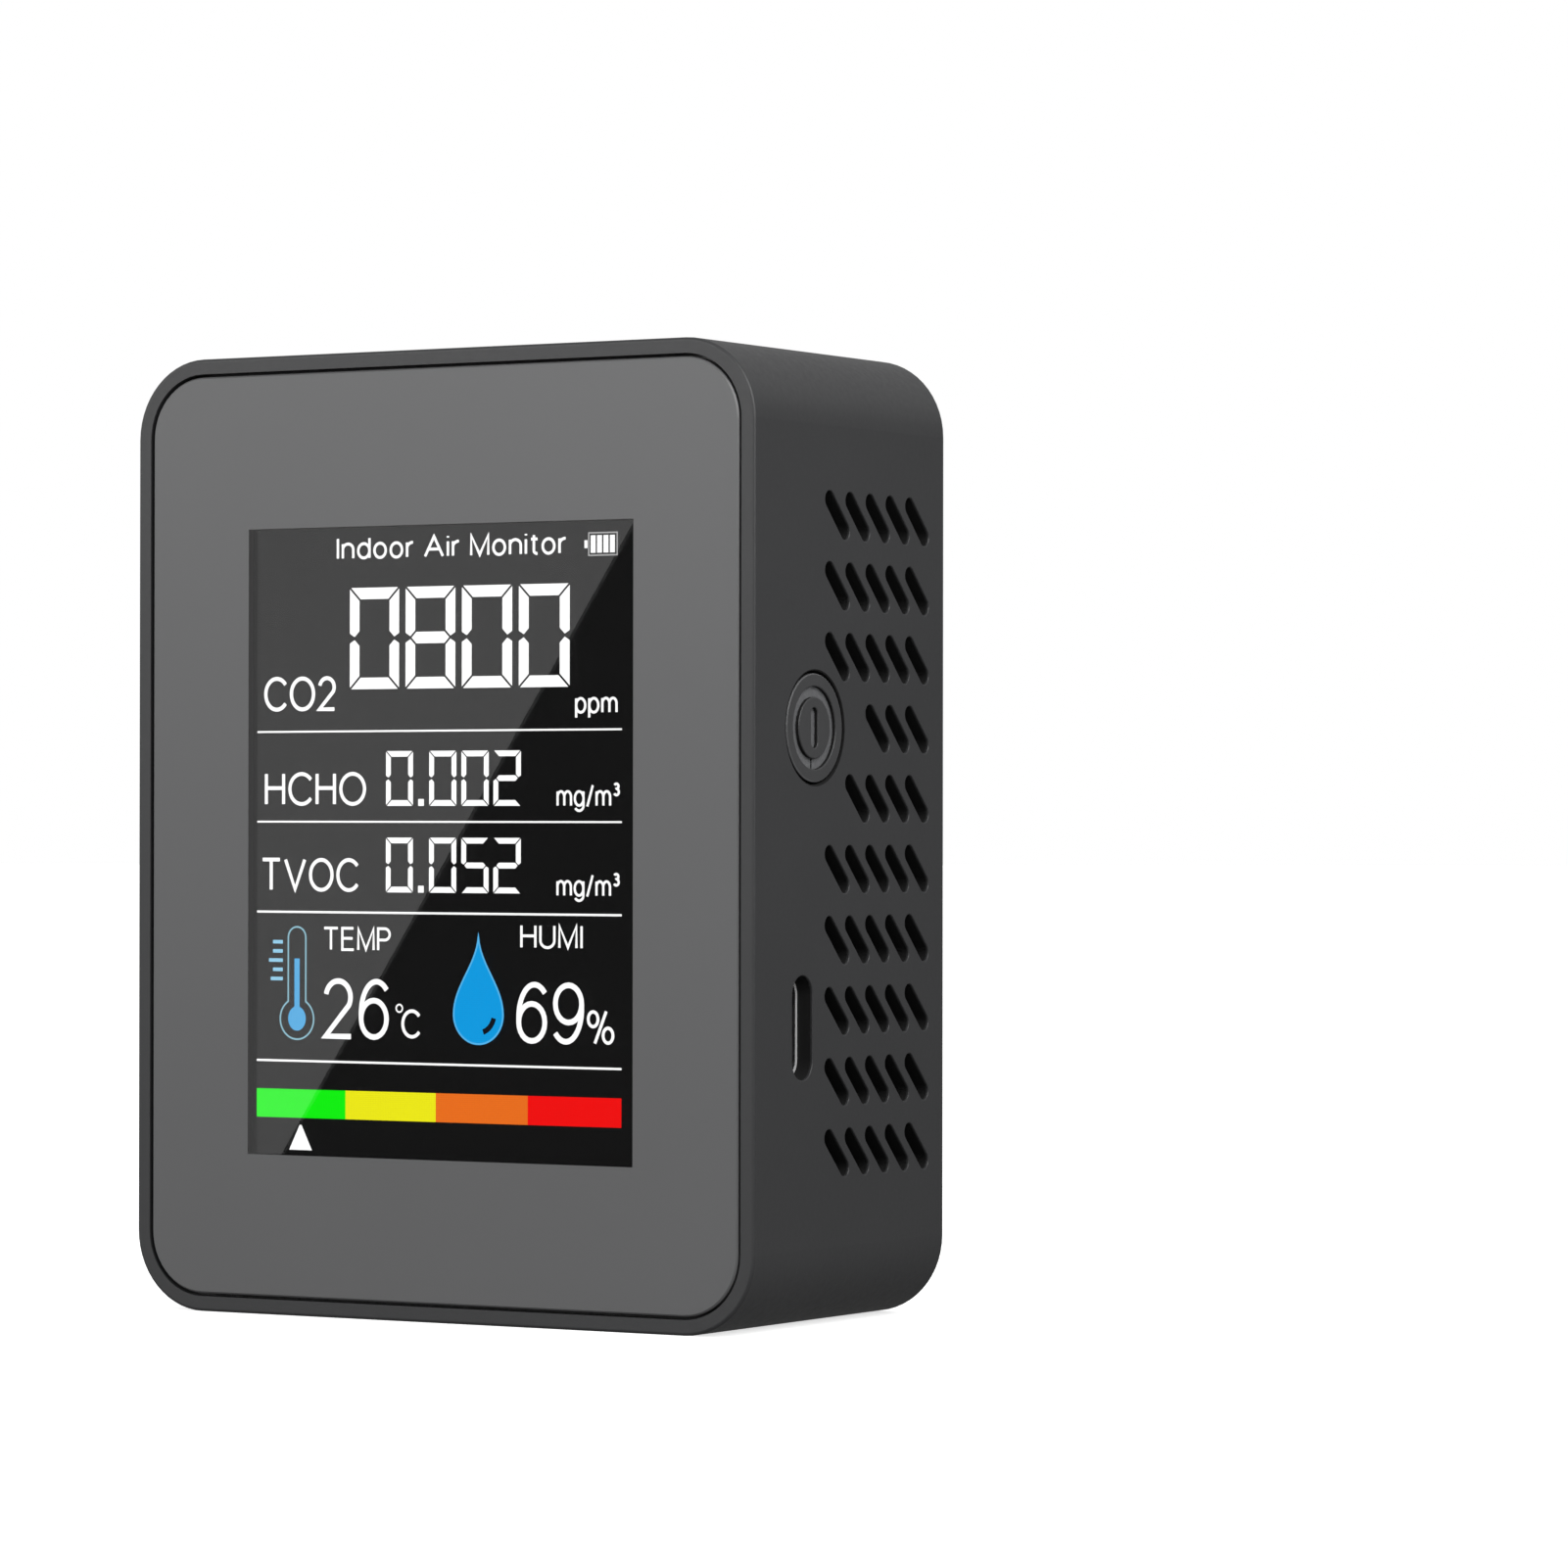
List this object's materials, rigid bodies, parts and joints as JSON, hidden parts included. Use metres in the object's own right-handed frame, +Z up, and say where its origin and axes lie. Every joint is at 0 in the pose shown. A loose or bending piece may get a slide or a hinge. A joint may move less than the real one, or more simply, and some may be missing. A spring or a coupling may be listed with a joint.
{
  "type": "carbon dioxide monitor",
  "caption": "Upright desk-top air monitor: flat screen in a flush front panel, slanted side vents, round power button and USB-C socket in the right side, screwed back cover.",
  "frame": {"origin": "under the middle of the casing, on the surface that it stands on", "axes": "+Z up, -Y out of the screen, +X to the right of someone facing the screen"},
  "size_m": [0.067, 0.0338, 0.088],
  "materials": {
    "casing": "black moulded ABS with a fine satin texture",
    "cover": "black moulded ABS with a fine spark texture",
    "panel": "dark grey satin acrylic",
    "window": "clear polished acrylic",
    "button": "black moulded ABS",
    "tape": "black foam tape",
    "polariser": "dark polarising film",
    "glass": "clear display glass",
    "backlight": "white moulded polycarbonate",
    "light_guide": "clear acrylic light guide",
    "flex": "amber polyimide film",
    "circuit_board": "green solder mask on glass epoxy",
    "sensor_board": "blue solder mask on glass epoxy",
    "chip": "black moulded epoxy",
    "ferrite": "dark grey ferrite",
    "ceramic": "tan ceramic with tinned ends",
    "alumina": "white alumina ceramic",
    "black_plastic": "black moulded nylon",
    "white_plastic": "natural white nylon",
    "steel": "nickel-plated steel sheet",
    "screw": "black zinc-plated steel",
    "tin": "tinned copper",
    "gold": "gold-plated contacts",
    "foil": "embossed aluminium pouch foil",
    "amber_tape": "amber polyimide tape",
    "red_wire": "red silicone insulation",
    "black_wire": "black silicone insulation"
  },
  "bodies": {
    "case": {"main_shell": "casing", "rear_cover": "cover", "cover_screws": "screw", "front_panel": "panel", "display_window": "window", "panel_tape": "tape", "lcd_polariser": "polariser", "lcd_front_glass": "glass", "lcd_rear_glass": "glass", "lcd_driver_chip": "chip", "lcd_backlight_frame": "backlight", "lcd_light_guide": "light_guide", "lcd_flex": "flex", "lcd_foam_tape": "tape", "main_board": "circuit_board", "board_screws": "steel", "microcontroller": "chip", "microcontroller_leads": "tin", "power_chips": "chip", "power_coil": "ferrite", "crystal": "steel", "capacitors": "ceramic", "resistors": "chip", "humidity_sensor": "chip", "switch_housing": "black_plastic", "switch_cover": "steel", "switch_dome": "steel", "switch_legs": "tin", "usb_shell": "steel", "usb_insulator": "black_plastic", "usb_contacts": "gold", "battery_cell": "foil", "battery_tape": "tape", "battery_board": "amber_tape", "battery_socket": "white_plastic", "battery_plug": "white_plastic", "battery_lead_red": "red_wire", "battery_lead_black": "black_wire", "gas_sensor_board": "sensor_board", "sensor_header": "black_plastic", "sensor_pins": "gold", "gas_sensor_can": "steel", "gas_sensor_mesh": "steel", "gas_sensor_base": "black_plastic", "gas_sensor_bead": "alumina", "gas_sensor_chip": "chip"},
    "power_button": {"power_button": "button"},
    "switch_plunger": {"switch_plunger": "white_plastic"}
  },
  "joints": [
    {"name": "power_button_press", "type": "slide", "parent": "case", "child": "power_button", "axis": [-1, 0, 0], "range_m": [0, 0.0003], "stiffness_N_per_m": 5000},
    {"name": "switch_plunger_press", "type": "slide", "parent": "case", "child": "switch_plunger", "axis": [-1, 0, 0], "range_m": [0, 0.00031], "deforming": ["switch_dome"]}
  ],
  "couplings": [
    {"joint": "switch_plunger_press", "follows": "power_button_press", "ratio": 1}
  ]
}
